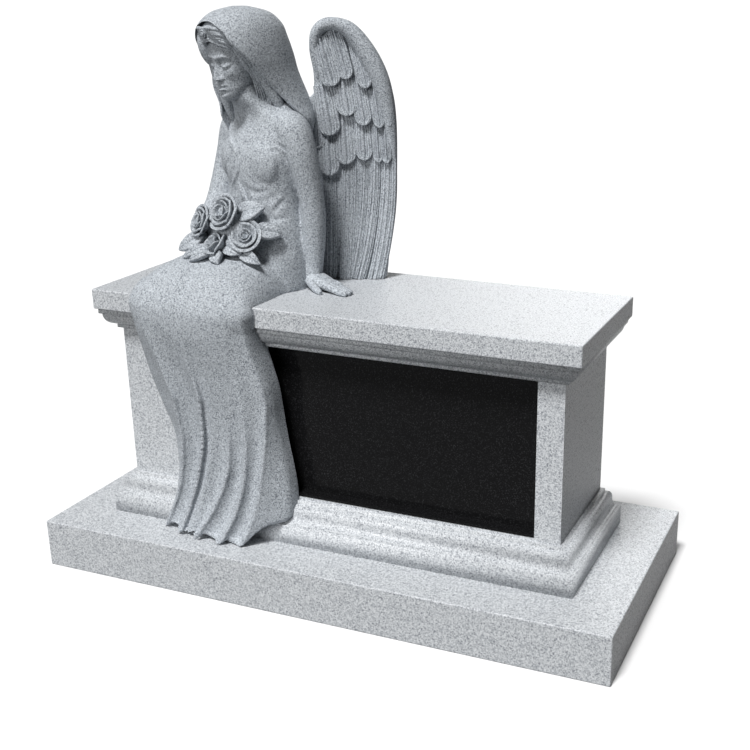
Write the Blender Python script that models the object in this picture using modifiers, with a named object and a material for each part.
"""Bench headstone of grey granite with a seated winged figure, in metres, +Z up.

The origin is the middle of the base's underside. X runs along the bench, and the
front of the stone, with the dark panel, looks along -Y.
"""
import math

import bmesh
import bpy
import numpy as np

# Masonry sizes
BASE_LENGTH = 1.500
BASE_DEPTH = 0.674
BASE_HEIGHT = 0.124
DIE_LENGTH = 1.156
DIE_DEPTH = 0.338
DIE_HEIGHT = 0.548
SLAB_OVERHANG = 0.048
SLAB_HEIGHT = 0.050
EDGE_ROUND = 0.003
JOINT = 0.0003

# Mouldings that run round the die: how far each stands out, and how tall it is
FOOT_OUTSET = 0.045
FOOT_HEIGHT = 0.048
FOOT_MOULD_HEIGHT = 0.056
CORNICE_OUTSET = 0.040
CORNICE_HEIGHT = 0.053
FILLET_OUTSET = 0.010
FILLET_HEIGHT = 0.008

# Dark panel in the front of the die
PANEL_RIGHT = 0.515
PANEL_LEFT = -0.330
PANEL_RECESS = 0.032
PANEL_THICKNESS = 0.020
PANEL_BORDER_BELOW = 0.014
PANEL_BORDER_ABOVE = 0.003
PANEL_LEDGE = 0.006
PANEL_GAP = 0.0015

# Seated figure
FIGURE_HEIGHT = 0.660
FIGURE_X = -0.300
FIGURE_TRIANGLES = 9300
LAP_FLOOR = 0.015
GOWN_BITE = 0.050

# The figure's own measure: its sitting height has this many units
UNITS = 660.0
HEAD_HEIGHT = 164.0
KNEE_COVER = 41.0
KNEE_REACH = 258.0
UNIT = FIGURE_HEIGHT / UNITS
FIGURE_VOXEL = 5.0 * UNIT

DIE_BOTTOM = BASE_HEIGHT + JOINT
DIE_TOP = DIE_BOTTOM + DIE_HEIGHT
SLAB_BOTTOM = DIE_TOP + JOINT
SEAT = SLAB_BOTTOM + SLAB_HEIGHT
DIE_FRONT = -DIE_DEPTH / 2
SLAB_DEPTH = DIE_DEPTH + 2 * SLAB_OVERHANG
SLAB_LENGTH = DIE_LENGTH + 2 * SLAB_OVERHANG
GOWN_DROP = SEAT - BASE_HEIGHT
FOOT_TOP = DIE_BOTTOM + FOOT_HEIGHT
SHAFT_BOTTOM = FOOT_TOP + FOOT_MOULD_HEIGHT
SHAFT_TOP = DIE_TOP - CORNICE_HEIGHT
PANEL_BOTTOM = SHAFT_BOTTOM + PANEL_BORDER_BELOW
PANEL_TOP = SHAFT_TOP - PANEL_BORDER_ABOVE

TURN_OF_TORSO = math.radians(21.5)
TURN_OF_HEAD = math.radians(22)
BOW_OF_HEAD = math.radians(14)


def collection(name):
    made = bpy.data.collections.new(name)
    bpy.context.scene.collection.children.link(made)
    return made


def finish_of(name, colour, roughness):
    finish = bpy.data.materials.new(name)
    finish.use_nodes = True
    shader = finish.node_tree.nodes["Principled BSDF"]
    shader.inputs["Base Color"].default_value = (*colour, 1.0)
    shader.inputs["Roughness"].default_value = roughness
    shader.inputs["Metallic"].default_value = 0.0
    return finish


def new_object(name, mesh, home, finish=None):
    made = bpy.data.objects.new(name, mesh)
    home.objects.link(made)
    if finish is not None:
        mesh.materials.append(finish)
    return made


def mesh_of(name, shape):
    bmesh.ops.recalc_face_normals(shape, faces=shape.faces)
    mesh = bpy.data.meshes.new(name)
    shape.to_mesh(mesh)
    shape.free()
    return mesh


def block(shape, low, high):
    """Add a box between two corners to a bmesh."""
    made = bmesh.ops.create_cube(shape, size=1.0)["verts"]
    size = [b - a for a, b in zip(low, high)]
    middle = [(a + b) / 2 for a, b in zip(low, high)]
    bmesh.ops.scale(shape, vec=size, verts=made)
    bmesh.ops.translate(shape, vec=middle, verts=made)


def bridge(shape, rings):
    """Join rings of points, all of one length, into a closed loft."""
    rows = [[shape.verts.new(point) for point in ring] for ring in rings]
    count = len(rows[0])
    for lower, upper in zip(rows, rows[1:]):
        for i in range(count):
            j = (i + 1) % count
            shape.faces.new((lower[i], lower[j], upper[j], upper[i]))
    shape.faces.new(rows[0][::-1])
    shape.faces.new(rows[-1])


def quarter(start, end, steps, hollow):
    """Points of a quarter-round moulding between two (outset, height) points."""
    points = []
    for i in range(1, steps + 1):
        angle = math.pi / 2 * i / steps
        out = math.sin(angle) if hollow else 1 - math.cos(angle)
        rise = 1 - math.cos(angle) if hollow else math.sin(angle)
        points.append((start[0] + (end[0] - start[0]) * out,
                       start[1] + (end[1] - start[1]) * rise))
    return points


def die_profile():
    """Outset from the shaft and height, from the die's foot up to its top."""
    neck = FOOT_OUTSET * 0.58
    bead = SHAFT_BOTTOM - FILLET_HEIGHT
    waist = FOOT_TOP + FOOT_MOULD_HEIGHT * 0.40
    foot = [(FOOT_OUTSET, DIE_BOTTOM), (FOOT_OUTSET, FOOT_TOP), (FOOT_OUTSET * 0.86, FOOT_TOP)]
    cove = quarter((FOOT_OUTSET * 0.86, FOOT_TOP + 0.004), (neck, waist), 4, True)
    swell = quarter((neck, waist + 0.006), (FILLET_OUTSET * 1.2, bead), 4, False)
    shaft = [(FILLET_OUTSET, bead), (FILLET_OUTSET, SHAFT_BOTTOM), (0, SHAFT_BOTTOM), (0, SHAFT_TOP)]
    top_fillet = DIE_TOP - FILLET_HEIGHT * 1.35
    step = SHAFT_TOP + FILLET_HEIGHT
    collar = [(FILLET_OUTSET, SHAFT_TOP), (FILLET_OUTSET, step)]
    ovolo = quarter((FILLET_OUTSET * 1.15, step), (CORNICE_OUTSET * 0.78, top_fillet), 5, True)
    crown = [(CORNICE_OUTSET, top_fillet), (CORNICE_OUTSET, DIE_TOP)]
    return foot + cove + swell + shaft + collar + ovolo + crown


def rectangle(half_length, half_depth, height):
    return [(-half_length, -half_depth, height), (half_length, -half_depth, height),
            (half_length, half_depth, height), (-half_length, half_depth, height)]


def moulded_block(shape, profile, grow=0.0):
    """A rectangular block whose four sides all carry one profile."""
    bridge(shape, [rectangle(DIE_LENGTH / 2 + out + grow, DIE_DEPTH / 2 + out + grow, height)
                   for out, height in profile])


def base_slab(home, granite):
    shape = bmesh.new()
    block(shape, (-BASE_LENGTH / 2, -BASE_DEPTH / 2, 0),
          (BASE_LENGTH / 2, BASE_DEPTH / 2, BASE_HEIGHT))
    made = new_object("base_slab", mesh_of("base_slab", shape), home, granite)
    soften(made)
    return made


def seat_slab(home, granite):
    shape = bmesh.new()
    block(shape, (-SLAB_LENGTH / 2, -SLAB_DEPTH / 2, SLAB_BOTTOM),
          (SLAB_LENGTH / 2, SLAB_DEPTH / 2, SEAT))
    made = new_object("seat_slab", mesh_of("seat_slab", shape), home, granite)
    soften(made)
    return made


def soften(made):
    edge = made.modifiers.new("eased edges", "BEVEL")
    edge.width = EDGE_ROUND
    edge.segments = 2


def hidden_cutter(name, shape, cutters):
    made = new_object(name, mesh_of(name, shape), cutters)
    made.hide_render = True
    made.display_type = "WIRE"
    return made


def cut(made, cutter):
    knife = made.modifiers.new(cutter.name, "BOOLEAN")
    knife.operation = "DIFFERENCE"
    knife.solver = "EXACT"
    knife.object = cutter


def bench_die(home, cutters, granite):
    shape = bmesh.new()
    moulded_block(shape, die_profile())
    made = new_object("bench_die", mesh_of("bench_die", shape), home, granite)
    hole = bmesh.new()
    block(hole, (PANEL_LEFT, DIE_FRONT - FOOT_OUTSET, PANEL_BOTTOM - PANEL_LEDGE - PANEL_GAP),
          (PANEL_RIGHT, DIE_FRONT + PANEL_RECESS + PANEL_THICKNESS + JOINT, PANEL_TOP))
    cut(made, hidden_cutter("panel recess", hole, cutters))
    return made


def black_panel(home, granite):
    """A plate at the back of the recess with a thin ledge along its foot."""
    left = PANEL_LEFT + PANEL_GAP
    right = PANEL_RIGHT - PANEL_GAP
    face = DIE_FRONT + PANEL_RECESS
    bottom = PANEL_BOTTOM - PANEL_LEDGE
    outline = [(DIE_FRONT + PANEL_GAP, bottom), (face + PANEL_THICKNESS, bottom),
               (face + PANEL_THICKNESS, PANEL_TOP - JOINT), (face, PANEL_TOP - JOINT),
               (face, PANEL_BOTTOM), (DIE_FRONT + PANEL_GAP, PANEL_BOTTOM)]
    shape = bmesh.new()
    bridge(shape, [[(x, y, z) for y, z in outline] for x in (left, right)])
    return new_object("black_panel", mesh_of("black_panel", shape), home, granite)


def unit(vector):
    vector = np.asarray(vector, dtype=float)
    return vector / np.linalg.norm(vector)


def place(x, y, z):
    """A point of the figure, in its own units from the middle of its seat."""
    return np.array((FIGURE_X + x * UNIT, y * UNIT, SEAT + z * UNIT))


def turned(angle):
    """The figure's left and forward directions at a turn towards -X."""
    left = np.array((math.cos(angle), -math.sin(angle), 0.0))
    ahead = np.array((-math.sin(angle), -math.cos(angle), 0.0))
    return left, ahead


UP = np.array((0.0, 0.0, 1.0))
LAP_FLOOR_FRONT = -SLAB_DEPTH / 2 + 2 * EDGE_ROUND


def spline(knots, steps):
    """Points on a smooth curve through rows of numbers."""
    rows = np.array([knots[0], *knots, knots[-1]], dtype=float)
    out = []
    for a, b, c, d in zip(rows, rows[1:], rows[2:], rows[3:]):
        for i in range(steps):
            t = i / steps
            out.append(0.5 * (2 * b + (c - a) * t + (2 * a - 5 * b + 4 * c - d) * t * t
                              + (3 * b - 3 * c + d - a) * t ** 3))
    out.append(rows[-2])
    return out


def oval(centre, side, ahead, half_side, half_ahead, count, power=2.0):
    """A ring of points on a rounded section."""
    ring = []
    for i in range(count):
        angle = 2 * math.pi * i / count
        c = math.cos(angle)
        s = math.sin(angle)
        out_side = math.copysign(abs(c) ** (2 / power), c) * half_side
        out_ahead = math.copysign(abs(s) ** (2 / power), s) * half_ahead
        ring.append(centre + side * out_side + ahead * out_ahead)
    return ring


def tube(shape, stations, side, count=14, steps=4):
    """A limb: stations are x, y, z, half width along side, half thickness."""
    rows = spline(stations, steps)
    points = [place(*row[:3]) for row in rows]
    rings = []
    for i, row in enumerate(rows):
        along = unit(points[min(i + 1, len(points) - 1)] - points[max(i - 1, 0)])
        across = unit(side - along * np.dot(side, along))
        over = np.cross(along, across)
        rings.append(oval(points[i], across, over, row[3] * UNIT, row[4] * UNIT, count))
    bridge(shape, rings)


def egg(shape, centre, axes, radii, segments=20):
    """A rounded lump with three half sizes along three directions."""
    made = bmesh.ops.create_uvsphere(shape, u_segments=segments, v_segments=segments // 2,
                                     radius=1.0)["verts"]
    frame = np.array([np.asarray(axis) * size * UNIT for axis, size in zip(axes, radii)])
    for vertex in made:
        vertex.co = centre + np.array(vertex.co) @ frame


def torso(shape):
    left, ahead = turned(TURN_OF_TORSO)
    stations = [(20, 14, -30, 146, 118), (22, 14, 45, 142, 112), (28, 18, 95, 132, 100),
                (35, 24, 145, 119, 90), (39, 28, 190, 110, 82), (40, 29, 235, 108, 78),
                (40, 30, 285, 113, 82), (41, 31, 325, 120, 78), (41, 32, 358, 128, 64),
                (40, 33, 386, 126, 52), (35, 32, 410, 104, 46), (25, 26, 431, 72, 44),
                (12, 13, 455, 50, 43), (4, 6, 475, 42, 42), (0, 2, 505, 42, 43)]
    rings = [oval(place(*row[:3]), left, ahead, row[3] * UNIT, row[4] * UNIT, 36, 2.2)
             for row in spline(stations, 3)]
    bridge(shape, rings)
    for side in (-1, 1):
        centre = place(40, 30, 300) + (left * 50 * side + ahead * 50) * UNIT
        egg(shape, centre, (left, ahead, UP), (52, 33, 56))


def arms(shape):
    left, ahead = turned(TURN_OF_TORSO)
    tube(shape, [(112, 4, 394, 36, 37), (143, -8, 380, 39, 42), (162, -10, 326, 37, 39),
                 (174, -2, 258, 32, 34), (179, 2, 212, 29, 31), (179, 6, 165, 30, 30),
                 (175, 10, 105, 28, 27), (171, 12, 55, 25, 22), (168, 12, 24, 25, 20)], left, 16)
    tube(shape, [(-36, 60, 382, 34, 36), (-62, 70, 370, 39, 42), (-80, 66, 310, 35, 38),
                 (-96, 50, 240, 31, 34), (-102, 26, 186, 32, 33), (-98, -28, 152, 29, 28),
                 (-84, -80, 132, 25, 23), (-66, -112, 122, 26, 18)], ahead, 16)


def hand(shape):
    """The left hand lies flat on the seat, fingers pointing along the bench."""
    tube(shape, [(158, 14, 20, 24, 14), (178, 8, 16, 27, 15), (205, 0, 11, 30, 12),
                 (222, -6, 8, 27, 9)], np.array((0.25, 1.0, 0.0)), 14)
    for finger in range(4):
        spread = finger - 1.5
        reach = (262, 276, 282, 272)[3 - finger]
        tube(shape, [(205, -2 - 15 * spread, 10, 8, 9), (236, -10 - 16 * spread, 9, 8, 8),
                     (reach, -18 - 17 * spread, 5, 7, 6), (reach + 6, -20 - 17 * spread, 3, 4, 4)],
             np.array((0.25, 1.0, 0.0)), 8, 2)
    tube(shape, [(172, -10, 14, 9, 9), (196, -34, 8, 9, 8), (216, -46, 4, 7, 6)], UP, 8, 2)


def head(shape):
    left, ahead = turned(TURN_OF_HEAD)
    forward = ahead * math.cos(BOW_OF_HEAD) - UP * math.sin(BOW_OF_HEAD)
    crown = UP * math.cos(BOW_OF_HEAD) + ahead * math.sin(BOW_OF_HEAD)
    centre = place(2, 3, 546)
    share = HEAD_HEIGHT / 178

    def at(side, out, rise):
        return centre + (left * side + forward * out + crown * rise) * UNIT * share

    egg(shape, at(0, -4, 14), (left, forward, crown), (62, 80, 74), 24)
    rows = [(0, 58, -88, 16, 14), (0, 52, -80, 26, 26), (0, 46, -60, 38, 38),
            (0, 36, -30, 50, 50), (0, 26, 0, 56, 56), (0, 20, 30, 57, 58), (0, 10, 56, 50, 54)]
    rings = [oval(at(*row[:3]), left, forward, row[3] * UNIT, row[4] * UNIT, 24, 2.3)
             for row in spline(rows, 3)]
    bridge(shape, rings)
    egg(shape, at(0, 88, -26), (left, unit(forward + crown * 0.55), crown), (9, 11, 26), 12)
    egg(shape, at(0, 84, -55), (left, forward, crown), (17, 8, 9), 12)
    for side in (-1, 1):
        egg(shape, at(27 * side, 72, 2), (left, forward, crown), (15, 10, 9), 12)
        egg(shape, at(16 * side, 22, 50), (left, forward, crown), (46, 58, 42), 16)
        near = [at(68, 30, -6), at(76, 6, -60), at(84, -4, -104), at(88, -8, -140)]
        far = [at(-68, 42, 2), at(-68, 46, -60), at(-62, 50, -116), at(-58, 50, -172)]
        locks = [at(8 * side, 76, 64), at(44 * side, 66, 44)] + (near if side > 0 else far)
        sizes = (10, 15, 19, 20, 18, 8)
        rings = []
        for i, point in enumerate(locks):
            along = unit(locks[min(i + 1, 5)] - locks[max(i - 1, 0)])
            across = unit(forward - along * np.dot(forward, along))
            over = np.cross(along, across)
            rings.append(oval(point, across, over, sizes[i] * UNIT, sizes[i] * UNIT, 10))
        bridge(shape, rings)


def veil(shape):
    """A hood cut off by a slanting plane, its rim standing clear round the face."""
    left, ahead = turned(TURN_OF_HEAD)
    stations = [(-4, 659, 16, 18), (-5, 646, 58, 69), (-4, 620, 82, 101), (-5, 590, 93, 112),
                (-14, 550, 99, 117), (-35, 510, 101, 105), (-61, 470, 106, 93),
                (-79, 435, 115, 84), (-86, 405, 124, 72), (-84, 370, 122, 58),
                (-76, 300, 110, 44), (-70, 200, 104, 40), (-66, 100, 112, 42), (-70, -10, 118, 46)]
    hood = bmesh.new()
    rings = []
    for row in spline(stations, 3):
        lean = 18 * min(max(430 - row[1], 0) / 150, 1)
        centre = place(2 + lean, 5, row[1]) + ahead * row[0] * UNIT
        rings.append(oval(centre, left, ahead, row[2] * UNIT, row[3] * UNIT, 36, 2.2))
    bridge(hood, rings)
    rim = place(0, 5, 625) + ahead * 118 * UNIT
    away = unit(ahead * 0.734 - UP * 0.68)
    everything = hood.verts[:] + hood.edges[:] + hood.faces[:]
    bmesh.ops.bisect_plane(hood, geom=everything, plane_co=rim, plane_no=away, clear_outer=True)
    open_edges = [edge for edge in hood.edges if edge.is_boundary]
    bmesh.ops.holes_fill(hood, edges=open_edges)
    spare = bpy.data.meshes.new("hood")
    hood.to_mesh(spare)
    hood.free()
    shape.from_mesh(spare)
    bpy.data.meshes.remove(spare)


def lap(shape):
    """Thighs under the cloth, from the hips to the knees over the seat's edge."""
    across = np.array((1.0, 0.0, 0.0))
    reach = (SLAB_DEPTH / 2 + KNEE_COVER * UNIT) / (KNEE_REACH * UNIT)
    stations = [(0, 95, 110, 62), (2, 45, 146, 100), (0, -20, 158, 110), (-14, -80, 152, 104),
                (-27, -140, 164, 93), (-35, -190, 170, 76), (-32, -225, 166, 53),
                (-31, -248, 147, 21), (-28, -258, 124, -4)]
    rings = []
    for x, y, half_width, top in spline(stations, 4):
        middle = place(x, y * reach if y < 0 else y, -30)
        ring = oval(middle, across, UP, half_width * UNIT, (top + 30) * UNIT, 44, 2.5)
        for i, point in enumerate(ring):
            share = (point[0] - middle[0]) / (half_width * UNIT)
            dip = 7 * math.exp(-(share / 0.22) ** 2) if point[2] > SEAT else 0
            ring[i] = point - UP * dip * UNIT
            if point[1] > LAP_FLOOR_FRONT:
                ring[i][2] = max(ring[i][2], SEAT - LAP_FLOOR)
        rings.append(ring)
    bridge(shape, rings)


# Where the crests of the gown's folds run: share of the drop, then their places across
CREST_LEVELS = (0.0, 0.12, 0.25, 0.40, 0.55, 0.70, 0.85, 1.0)
CRESTS = (((-0.10,) * 8, (0.5, 0.6, 0.8, 1, 1, 1, 1, 1)),
          ((0.19, 0.20, 0.24, 0.26, 0.21, 0.155, 0.115, 0.05), (0.3, 0.5, 0.8, 1, 1, 1, 1, 1)),
          ((0.51, 0.51, 0.49, 0.476, 0.40, 0.315, 0.245, 0.205), (0, 0.3, 0.7, 0.9, 1, 1, 1, 1)),
          ((0.68, 0.68, 0.67, 0.65, 0.62, 0.56, 0.465, 0.375), (0, 0, 0, 0, 0.5, 1, 1, 1)),
          ((0.82, 0.82, 0.81, 0.79, 0.757, 0.70, 0.60, 0.55), (0, 0, 0, 0, 0.5, 0.9, 1, 1)),
          ((0.94, 0.95, 0.955, 0.953, 0.90, 0.83, 0.77, 0.74), (0.35, 0.45, 0.5, 0.6, 0.8, 0.9, 0.9, 0.9)),
          ((1.10,) * 8, (0.5, 0.6, 0.7, 0.8, 0.8, 0.8, 0.8, 0.8)))
FOLD_DEPTH = 15.0

# The hem rises to the figure's left over the foot: places across and rises, in its units
HEM_ACROSS = (100, 123, 164, 207, 230, 243)
HEM_RISE = (0, 22, 44, 62, 85, 124)
HEM_FRONT = DIE_FRONT - 75 * UNIT
HEM_FREE = 0.6
HEM_LEAN = 0.62
HEM_FALL = 0.58
HEM_WAVE = 9.0


def hem_height(spot, lift):
    """The hem's height at a place on it, a little higher in the folds' hollows."""
    inward = max(spot[1] - HEM_FRONT, 0) / UNIT
    across = (spot[0] - FIGURE_X) / UNIT + HEM_LEAN * inward
    rise = max(np.interp(across, HEM_ACROSS, HEM_RISE) - HEM_FALL * inward, 0)
    arch = min(max(0.4 - lift / (FOLD_DEPTH * UNIT), 0), 0.8)
    return BASE_HEIGHT + (rise + HEM_WAVE * arch) * UNIT


def fold_lift(share, across):
    """How far the cloth stands out between thin crests and round hollows."""
    spots = [np.interp(share, CREST_LEVELS, crest[0]) for crest in CRESTS]
    heights = [np.interp(share, CREST_LEVELS, crest[1]) for crest in CRESTS]
    after = min(max(int(np.searchsorted(spots, across)), 1), len(spots) - 1)
    gap = spots[after] - spots[after - 1]
    t = min(max((across - spots[after - 1]) / gap, 0), 1)
    crest = heights[after - 1] * (1 - t) + heights[after] * t
    hollow = abs(math.sin(math.pi * t)) ** 1.15
    return FOLD_DEPTH * crest * ((1 - hollow) * min(gap / 0.09, 1) - 0.45)


def gown(shape):
    """Cloth that hangs from the knees down to the base, in folds that sweep sideways.

    Each level gives its share of the drop, its left and right edges, how much of
    the seat's and the foot's overhang it clears, and its own thickness in front.
    """
    levels = [(-0.07, -178, 70, 1, 0, 10), (-0.03, -196, 112, 1, 0, 33),
              (0.02, -207, 136, 1, 0, 48), (0.07, -211, 137, 1, 0, 52),
              (0.12, -210, 137, 1, 0, 51), (0.18, -204, 141, 0.85, 0, 53),
              (0.26, -196, 156, 0.6, 0, 57), (0.34, -186, 174, 0.35, 0, 63),
              (0.46, -164, 188, 0.1, 0, 68), (0.58, -138, 198, 0, 0.1, 66),
              (0.70, -131, 206, 0, 0.3, 60), (0.79, -134, 210, 0, 0.55, 54),
              (0.88, -144, 206, 0, 0.8, 51), (0.96, -154, 184, 0, 1, 53),
              (1.01, -158, 164, 0, 1, 60)]
    count = 150
    rings = []
    for share, low, high, by_slab, by_foot, cover in spline(levels, 4):
        height = SEAT - GOWN_DROP * share
        front = DIE_FRONT - by_slab * SLAB_OVERHANG - by_foot * FOOT_OUTSET - cover * UNIT
        back = np.interp(share, (0.02, 0.10), (-SLAB_DEPTH / 2 + LAP_FLOOR * 2, DIE_FRONT + GOWN_BITE))
        middle = np.array((FIGURE_X + (low + high) / 2 * UNIT, (front + back) / 2, height))
        half = (high - low) / 2 * UNIT
        ring = []
        for i in range(count):
            angle = 2 * math.pi * i / count
            c = math.cos(angle)
            s = math.sin(angle)
            bend = 0.72 + 0.2 * min(max(share - 0.7, 0) / 0.3, 1)
            out = np.array((math.copysign(abs(c) ** bend, c) * half,
                            math.copysign(abs(s) ** bend, s) * (back - front) / 2, 0.0))
            lift = fold_lift(share, 0.5 + 0.5 * out[0] / half) * UNIT
            outward = unit((c / half, s / (back - front) * 2, 0.0))
            fade = 1 if s < 0.1 else 0
            spot = middle + out + outward * lift * fade
            if share > HEM_FREE:
                spot[2] = max(spot[2], hem_height(spot, lift))
            ring.append(spot)
        rings.append(ring)
    bridge(shape, rings)


def rose(shape, centre, facing, size):
    """An open bloom: a heart and two rounds of overlapping petals."""
    facing = unit(facing)
    side = unit(np.cross(facing, UP))
    over = np.cross(side, facing)
    middle = place(*centre)
    egg(shape, middle, (side, over, facing), (size * 0.42, size * 0.42, size * 0.62), 12)
    for count, reach, drop, width in ((3, 0.38, 0.10, 0.5), (5, 0.70, -0.28, 0.66)):
        for petal in range(count):
            angle = 2 * math.pi * (petal + reach) / count
            out = side * math.cos(angle) + over * math.sin(angle)
            along = np.cross(facing, out)
            point = middle + (out * reach + facing * drop) * size * UNIT
            egg(shape, point, (along, unit(out + facing * 0.8), unit(facing - out * 0.8)),
                (size * width, size * 0.36, size * 0.24), 10)


def leaf(shape, root, tip, width):
    """A pointed leaf with a raised middle."""
    start = place(*root)
    end = place(*tip)
    along = unit(end - start)
    facing = unit(np.array((-0.25, -0.75, 0.55)))
    across = unit(np.cross(facing, along))
    over = np.cross(along, across)
    rings = []
    for share, half in ((0.0, 0.15), (0.2, 0.75), (0.45, 1.0), (0.7, 0.72), (0.9, 0.3), (1.0, 0.04)):
        rings.append(oval(start + (end - start) * share, across, over,
                          width * half * UNIT, (3 + 5 * half) * UNIT, 8))
    bridge(shape, rings)


def bouquet(shape):
    out = np.array((-0.25, -0.85, 0.45))
    rose(shape, (-64, -114, 172), out + np.array((-0.35, 0, 0)), 36)
    rose(shape, (2, -116, 192), out, 40)
    rose(shape, (62, -120, 146), out + np.array((0.45, 0.1, 0)), 35)
    rose(shape, (-12, -138, 124), out + np.array((-0.3, 0, 0.6)), 34)
    egg(shape, place(-10, -84, 140), (turned(TURN_OF_TORSO)[0], out, UP), (78, 42, 62), 20)
    leaves = (((20, -96, 184), (98, -84, 214), 25), ((84, -104, 160), (144, -84, 150), 20),
              ((44, -122, 108), (106, -134, 84), 15), ((-10, -140, 108), (12, -174, 84), 16),
              ((-30, -138, 116), (-80, -166, 84), 17), ((-55, -118, 138), (-118, -128, 99), 20))
    for root, tip, width in leaves:
        leaf(shape, root, tip, width)


# The right wing mirrors the left one, drawn in close behind the back
FOLDED_REACH = 0.63
FOLDED_RISE = 0.92
FOLDED_TURN = math.radians(151)
WING_ACROSS = unit((0.93, 0.3676, 0.0))
WING_BACK = unit((-0.3676, 0.93, 0.0))


def on_wing(side, along, rise, deep):
    """A point on a wing: along the wing from its foot, up, and behind its face."""
    foot = place(221, 117, 0)
    spot = foot + (WING_ACROSS * along + UP * rise + WING_BACK * deep) * UNIT
    if side > 0:
        return spot
    root = place(28, 70, 0)
    out = spot - root
    reach = math.hypot(out[0], out[1]) * FOLDED_REACH
    folded = FOLDED_TURN - math.atan2(out[1], out[0])
    return root + np.array((math.cos(folded) * reach, math.sin(folded) * reach,
                            out[2] * FOLDED_RISE))


def wing_plate(shape, side):
    outline = spline([(-190, 250), (-196, 350), (-170, 420), (-116, 438), (-80, 464),
                      (-79, 505), (-86, 560), (-84, 600), (-64, 624), (-21, 632), (32, 607), (78, 556),
                      (108, 478), (118, 398), (118, 275), (111, 165), (97, 85), (78, -20),
                      (0, -20), (-90, -20), (-120, 100)], 3)
    rings = []
    for deep, inset in ((0, 0.97), (6, 1.0), (34, 1.0), (42, 0.97)):
        ring = []
        for along, rise in outline:
            bowl = 14 * math.exp(-((along - 10) / 90) ** 2)
            ring.append(on_wing(side, along * inset, 300 + (rise - 300) * inset, deep + bowl * (deep < 20)))
        rings.append(ring)
    bridge(shape, rings)


def wing_tube(shape, side, route, count=10):
    """A roll or a quill: route rows are along, rise, depth, half width, half thickness."""
    rows = spline(route, 3)
    points = [on_wing(side, *row[:3]) for row in rows]
    face = unit(np.cross(on_wing(side, 1, 0, 0) - on_wing(side, 0, 0, 0), UP))
    rings = []
    for i, row in enumerate(rows):
        tangent = unit(points[min(i + 1, len(points) - 1)] - points[max(i - 1, 0)])
        across = unit(np.cross(face, tangent))
        rings.append(oval(points[i], across, face, row[3] * UNIT, row[4] * UNIT, count))
    bridge(shape, rings)


def feather(shape, side, tip, length, width, deep, lean=0.0):
    """A short round-ended feather lying down the face, lifted at its tip."""
    along, rise = tip
    root_along = along - lean * length
    wing_tube(shape, side, [(root_along, rise + length, deep + 6, width * 0.7, 4),
                            (along - lean * length * 0.4, rise + length * 0.5, deep + 1, width, 8),
                            (along, rise + width * 0.9, deep - 2, width, 9),
                            (along, rise + width * 0.25, deep - 2, width * 0.66, 8),
                            (along, rise, deep - 1, width * 0.2, 4)], 10)


def wing(shape, side):
    wing_plate(shape, side)
    wing_tube(shape, side, [(-72, 440, 16, 8, 8), (-70, 470, 13, 9, 9), (-68, 510, 9, 11, 11),
                            (-74, 560, 5, 12, 12), (-67, 598, 1, 14, 14), (-46, 616, -1, 15, 15),
                            (-14, 616, -3, 16, 16), (16, 599, -4, 20, 20), (48, 556, -3, 24, 24),
                            (74, 508, -2, 24, 24),
                            (90, 460, 0, 22, 22), (101, 400, 4, 18, 18), (107, 340, 7, 13, 13),
                            (109, 270, 10, 8, 8)], 12)
    rows = (((-31, 474, 24), (4, 489, 19), (50, 469, 18)),
            ((-40, 360, 26), (4, 403, 26), (42, 384, 21), (80, 377, 15)),
            ((-46, 262, 26), (-6, 290, 27), (40, 298, 21), (75, 295, 14), (95, 292, 13)))
    for row, tips in enumerate(rows):
        lean = (0.26, 0.16, 0.06)[row]
        for along, rise, width in tips:
            feather(shape, side, (along, rise), 118, width, 5 * row - 7, lean)
            if row > 0:
                feather(shape, side, (along, rise), 118, width, 42, 0.12)
    for top, foot, width in ((-112, -104, 19), (-76, -84, 19), (-46, -56, 16), (-1, -18, 18),
                             (40, -6, 15), (66, 14, 16), (100, 54, 20)):
        for deep in (6, 40):
            wing_tube(shape, side, [(top, 330, deep, width, 6), (top, 220, deep - 2, width, 9),
                                    (top + (foot - top) * 0.4, 90, deep - 2, width, 9),
                                    (foot, -20, deep, width * 0.8, 8)], 10)


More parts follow.
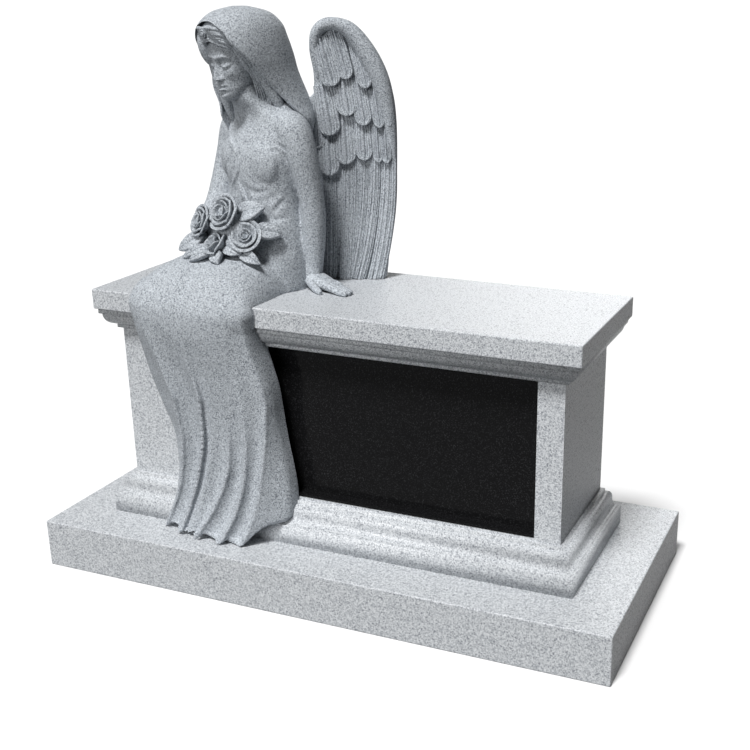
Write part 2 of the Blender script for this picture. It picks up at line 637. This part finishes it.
def settled(made, name):
    """The object's mesh with its modifiers worked in."""
    view = bpy.context.evaluated_depsgraph_get()
    mesh = bpy.data.meshes.new_from_object(made.evaluated_get(view))
    mesh.name = name
    return mesh


def angel(home, cutters, granite):
    shape = bmesh.new()
    for form in (torso, arms, hand, head, veil, lap, gown, bouquet):
        form(shape)
    for side in (1, -1):
        wing(shape, side)
    rough = new_object("carving", mesh_of("carving", shape), home)
    skin = rough.modifiers.new("one skin", "REMESH")
    skin.mode = "VOXEL"
    skin.voxel_size = FIGURE_VOXEL
    ease = rough.modifiers.new("eased", "SMOOTH")
    ease.factor = 0.5
    ease.iterations = 2
    dense = settled(rough, "angel")
    bpy.data.objects.remove(rough)
    made = new_object("angel", dense, home, granite)
    triangles = sum(len(face.vertices) - 2 for face in dense.polygons)
    thin = made.modifiers.new("fewer faces", "DECIMATE")
    thin.ratio = FIGURE_TRIANGLES / triangles
    seat = bmesh.new()
    block(seat, (-SLAB_LENGTH / 2 - JOINT, -SLAB_DEPTH / 2 - JOINT, SLAB_BOTTOM - JOINT),
          (SLAB_LENGTH / 2 + JOINT, SLAB_DEPTH / 2 + JOINT, SEAT + JOINT))
    cut(made, hidden_cutter("room for the seat", seat, cutters))
    stone = bmesh.new()
    moulded_block(stone, die_profile(), JOINT)
    cut(made, hidden_cutter("room for the die", stone, cutters))
    ground = bmesh.new()
    block(ground, (-BASE_LENGTH / 2, -BASE_DEPTH / 2, -BASE_HEIGHT),
          (BASE_LENGTH / 2, BASE_DEPTH / 2, DIE_BOTTOM))
    cut(made, hidden_cutter("room for the base", ground, cutters))
    return made


def build():
    for old in list(bpy.data.objects):
        bpy.data.objects.remove(old)
    home = collection("angel headstone")
    cutters = collection("cutters")
    granite = finish_of("grey granite", (0.56, 0.58, 0.60), 0.45)
    carved = finish_of("carved grey granite", (0.40, 0.42, 0.43), 0.75)
    black = finish_of("black granite", (0.012, 0.012, 0.013), 0.08)
    base_slab(home, granite)
    bench_die(home, cutters, granite)
    seat_slab(home, granite)
    black_panel(home, black)
    angel(home, cutters, carved)


build()
